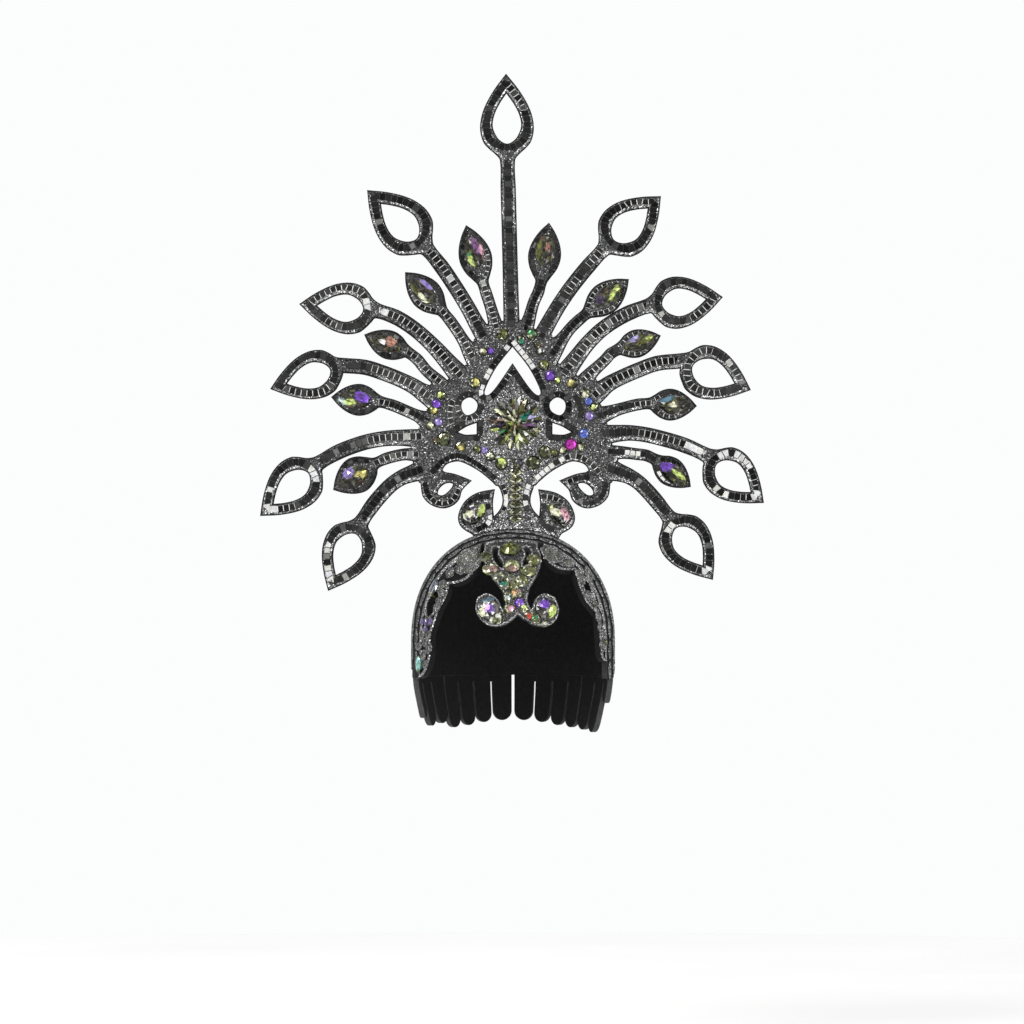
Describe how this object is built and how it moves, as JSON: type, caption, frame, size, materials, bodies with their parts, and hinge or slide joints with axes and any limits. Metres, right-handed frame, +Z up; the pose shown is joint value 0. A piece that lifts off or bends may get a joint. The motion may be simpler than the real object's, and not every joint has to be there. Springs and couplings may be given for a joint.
{
  "type": "carnival crown",
  "caption": "Carnival crown: a flat glitter-foam crest of looped and leaf-tipped rays with mirror tiles and cut stones, on an openwork dark foam cap.",
  "frame": {"origin": "the crown of the head: the inside of the cap's top, on the cap's middle", "axes": "+Z up along the crest, +X to the right as seen from in front, the front faces -Y"},
  "size_m": [0.4435, 0.2058, 0.5808],
  "materials": {
    "crest_face": "gunmetal glitter foam set with small dark mirror tiles, near-black cut edges",
    "cap_foam": "dark grey glitter foam, layered",
    "strip_foam": "plain dark foam",
    "smoky_stone": "cut glass stone, smoky with yellow-green reflections, foiled back",
    "rainbow_stone": "cut glass stone, rainbow coated, foiled back"
  },
  "bodies": {
    "root": {"burst_stones": "smoky_stone", "cap_back": "cap_foam", "crest_brace": "strip_foam", "crest_foot": "crest_face", "crest_hub": "crest_face", "curl_left": "crest_face", "curl_right": "crest_face", "foot_stone_left": "rainbow_stone", "foot_stone_right": "rainbow_stone", "forehead_ornament": "crest_face", "forehead_stone_middle": "smoky_stone", "forehead_stone_top": "smoky_stone", "hoop_back": "cap_foam", "hoop_front": "cap_foam", "hoop_middle": "cap_foam", "leaf_stone_left_1": "smoky_stone", "leaf_stone_left_2": "smoky_stone", "leaf_stone_left_3": "smoky_stone", "leaf_stone_left_4": "smoky_stone", "leaf_stone_left_5": "smoky_stone", "leaf_stone_right_1": "smoky_stone", "leaf_stone_right_2": "smoky_stone", "leaf_stone_right_3": "smoky_stone", "leaf_stone_right_4": "smoky_stone", "leaf_stone_right_5": "smoky_stone", "nape_strips_left": "strip_foam", "nape_strips_right": "strip_foam", "ray_centre": "crest_face", "ray_leaf_left_1": "crest_face", "ray_leaf_left_2": "crest_face", "ray_leaf_left_3": "crest_face", "ray_leaf_left_4": "crest_face", "ray_leaf_left_5": "crest_face", "ray_leaf_right_1": "crest_face", "ray_leaf_right_2": "crest_face", "ray_leaf_right_3": "crest_face", "ray_leaf_right_4": "crest_face", "ray_leaf_right_5": "crest_face", "ray_long_left_1": "crest_face", "ray_long_left_2": "crest_face", "ray_long_left_3": "crest_face", "ray_long_left_4": "crest_face", "ray_long_left_5": "crest_face", "ray_long_right_1": "crest_face", "ray_long_right_2": "crest_face", "ray_long_right_3": "crest_face", "ray_long_right_4": "crest_face", "ray_long_right_5": "crest_face", "rim_left": "cap_foam", "rim_right": "cap_foam", "scroll_stone_left": "rainbow_stone", "scroll_stone_right": "rainbow_stone", "side_strips_left": "strip_foam", "side_strips_right": "strip_foam"}
  },
  "joints": []
}
